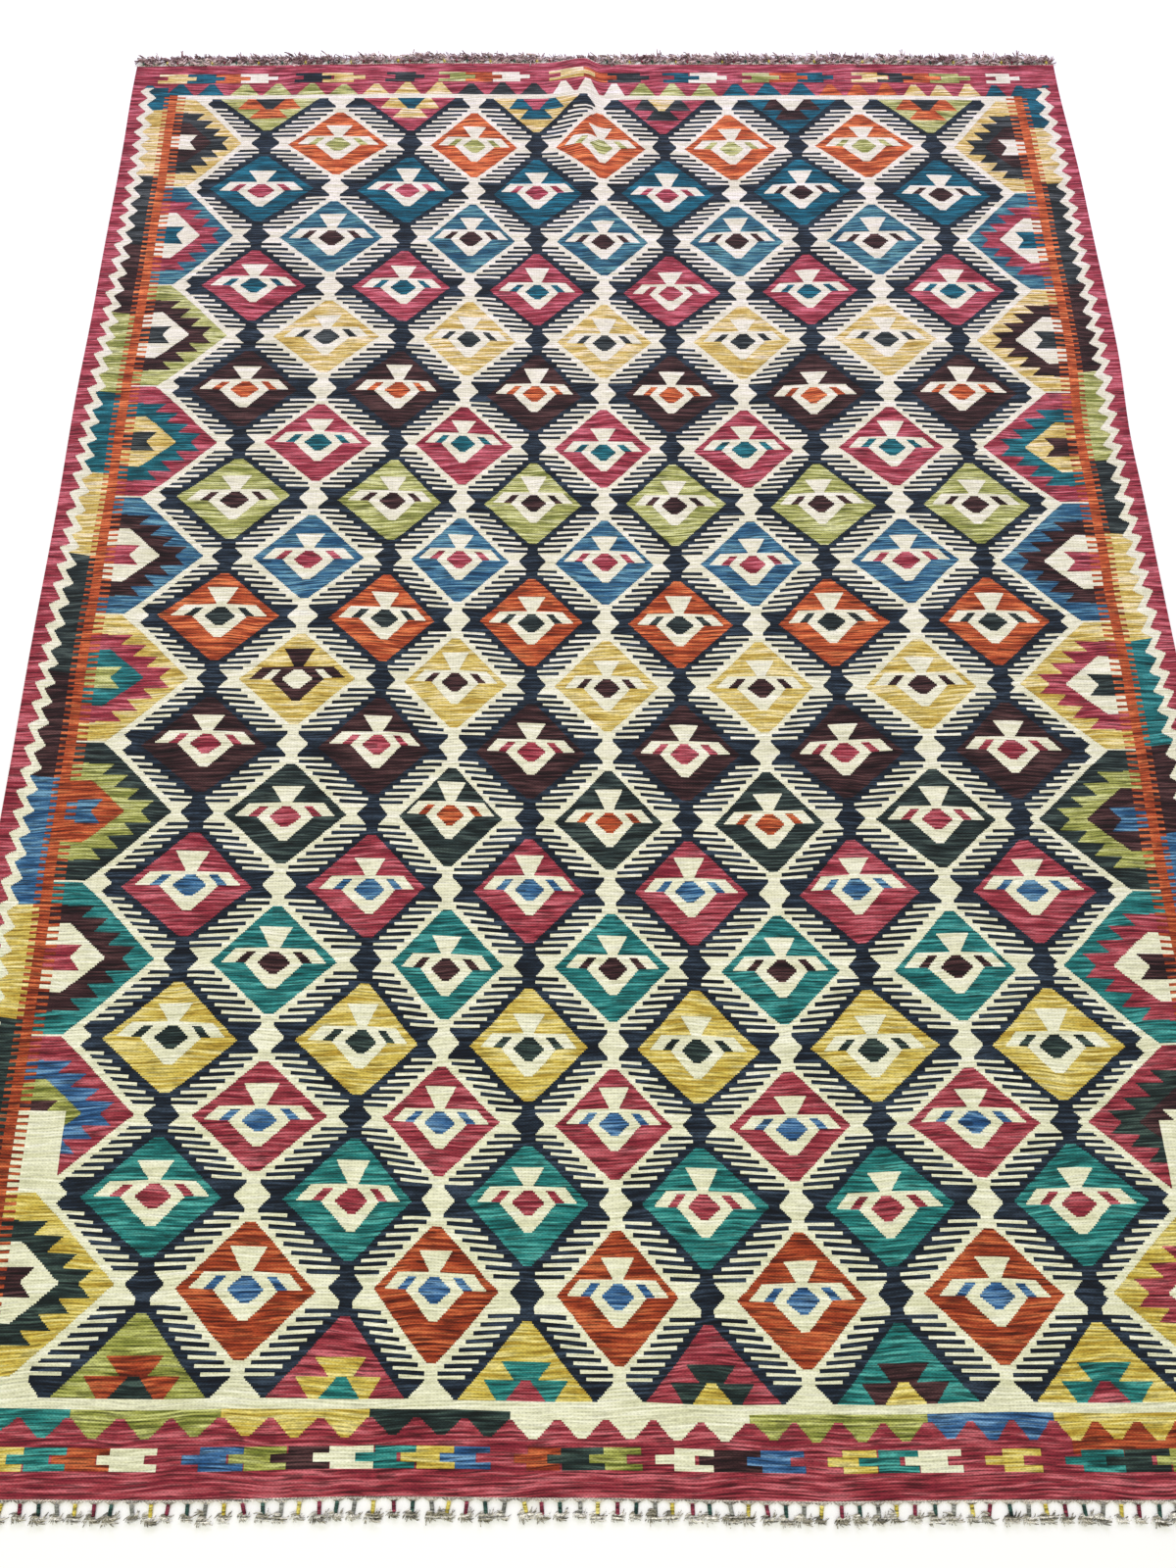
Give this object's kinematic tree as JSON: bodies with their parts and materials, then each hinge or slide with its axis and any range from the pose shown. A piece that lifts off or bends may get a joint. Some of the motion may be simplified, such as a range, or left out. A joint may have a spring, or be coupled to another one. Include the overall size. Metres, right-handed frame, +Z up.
{
  "type": "kilim rug",
  "caption": "Flat-woven wool rug with a diamond lattice, zigzag side borders, stepped end borders and a knotted fringe at both ends, lying with one low ridge at its far end.",
  "frame": {"origin": "centre of the rug's box, fringes included, at floor level", "axes": "+Y along the warps to the far end with the ridge, +X along the wefts to the rug's right, +Z up out of the floor"},
  "size_m": [1.7126, 2.3918, 0.016],
  "materials": {
    "dyed_wool_weave": "matt slit-tapestry weave of hand-dyed wool weft",
    "fringe_wool": "matt twisted grey-beige warp wool, wrapped and knotted"
  },
  "bodies": {
    "root": {"kilim_panel": "dyed_wool_weave", "fringe_far": "fringe_wool", "fringe_near": "fringe_wool"}
  },
  "joints": []
}
